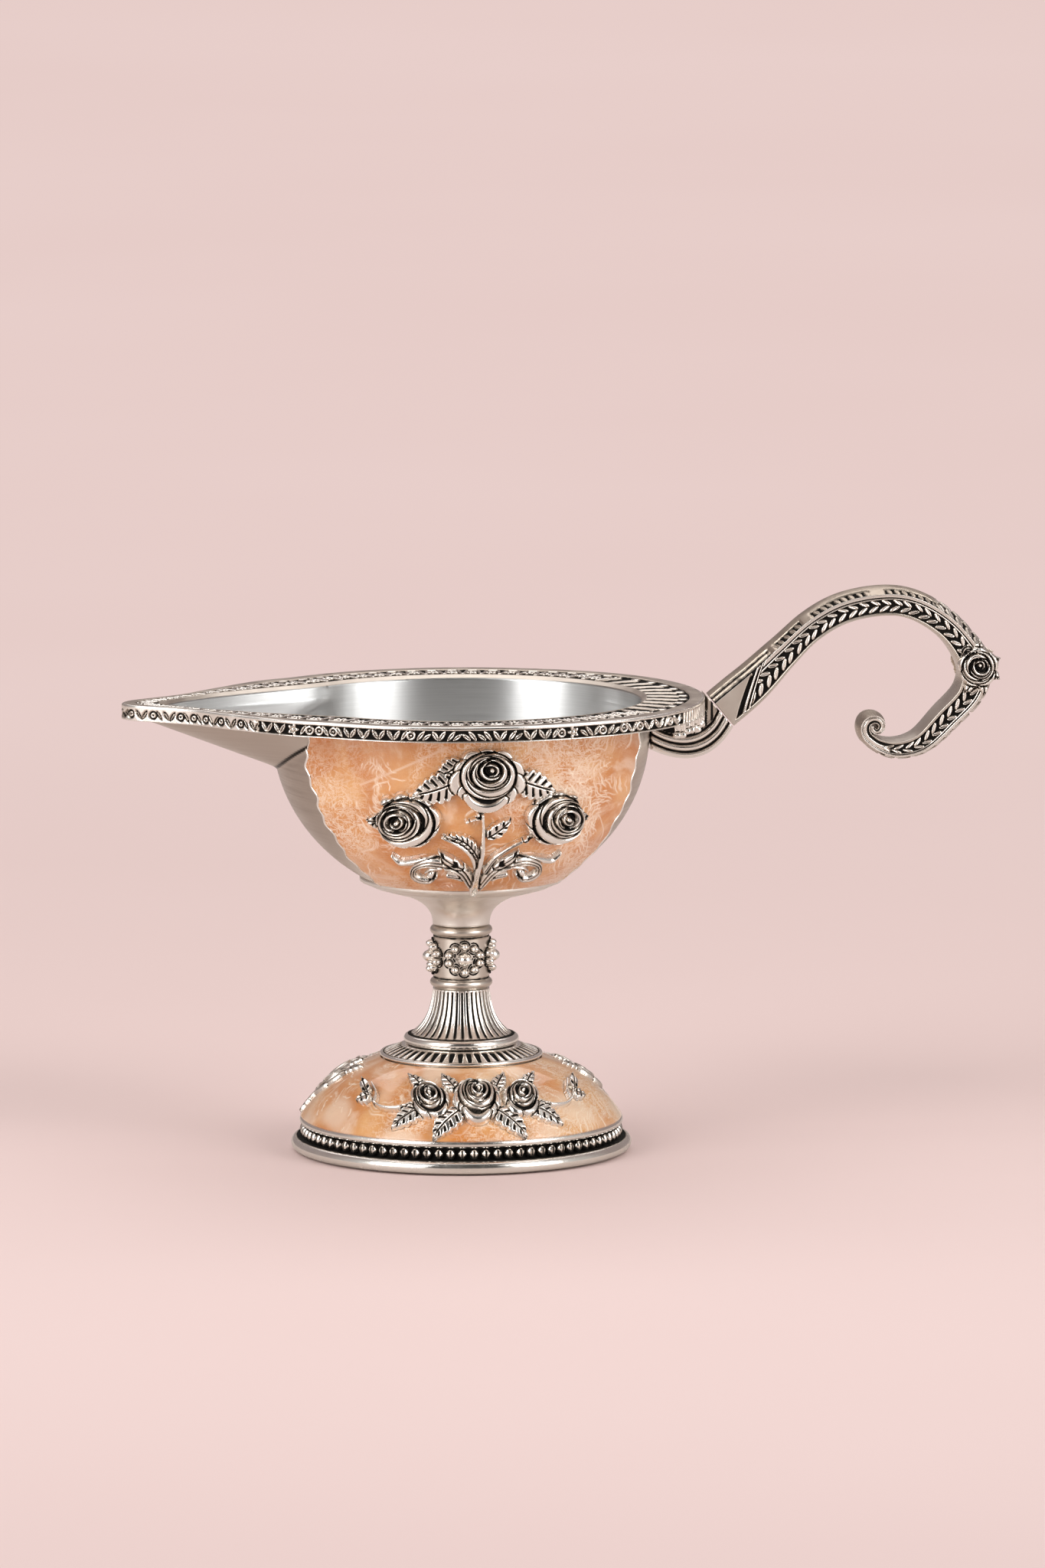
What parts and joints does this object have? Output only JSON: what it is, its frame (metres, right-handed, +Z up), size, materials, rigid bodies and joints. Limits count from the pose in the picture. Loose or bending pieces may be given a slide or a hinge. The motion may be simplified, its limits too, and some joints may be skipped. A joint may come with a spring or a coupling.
{
  "type": "hand diya",
  "caption": "Pedestal hand diya: a teardrop oil bowl with pouring spout and scroll handle on a turned stem and domed foot, cast metal with rose sprays on pearl enamel.",
  "frame": {"origin": "middle of the underside, on the surface that the lamp stands on", "axes": "+Z up, +X to the handle, -X to the spout, -Y to the pictured front"},
  "size_m": [0.1676, 0.08, 0.1064],
  "materials": {
    "antique_silver": "silver plate, bright on the high points with dark patina in the recesses",
    "polished_silver": "silver plate, brushed and polished",
    "pearl_enamel": "glossy pearlescent peach enamel with pale swirls",
    "steel": "zinc plated",
    "brass": "plain turned",
    "felt": "dense felt"
  },
  "bodies": {
    "root": {"base_pad": "felt", "foot": "antique_silver", "foot_enamel": "pearl_enamel", "foot_beading": "antique_silver", "foot_spray_1": "antique_silver", "foot_spray_2": "antique_silver", "foot_spray_3": "antique_silver", "gadroon_ring": "antique_silver", "fluted_cone": "antique_silver", "stem_collar": "antique_silver", "berry_cluster_1": "antique_silver", "berry_cluster_2": "antique_silver", "berry_cluster_3": "antique_silver", "berry_cluster_4": "antique_silver", "bowl_seat": "antique_silver", "bowl": "polished_silver", "bowl_bush": "brass", "tie_washer": "steel", "tie_screw": "steel", "rim_border": "antique_silver", "bowl_enamel_front": "pearl_enamel", "bowl_enamel_back": "pearl_enamel", "front_rose_centre": "antique_silver", "front_rose_left": "antique_silver", "front_rose_right": "antique_silver", "front_branch": "antique_silver", "back_rose_centre": "antique_silver", "back_rose_left": "antique_silver", "back_rose_right": "antique_silver", "back_branch": "antique_silver", "handle": "antique_silver", "handle_rose_front": "antique_silver", "handle_rose_back": "antique_silver", "handle_bracket": "antique_silver"}
  },
  "joints": []
}
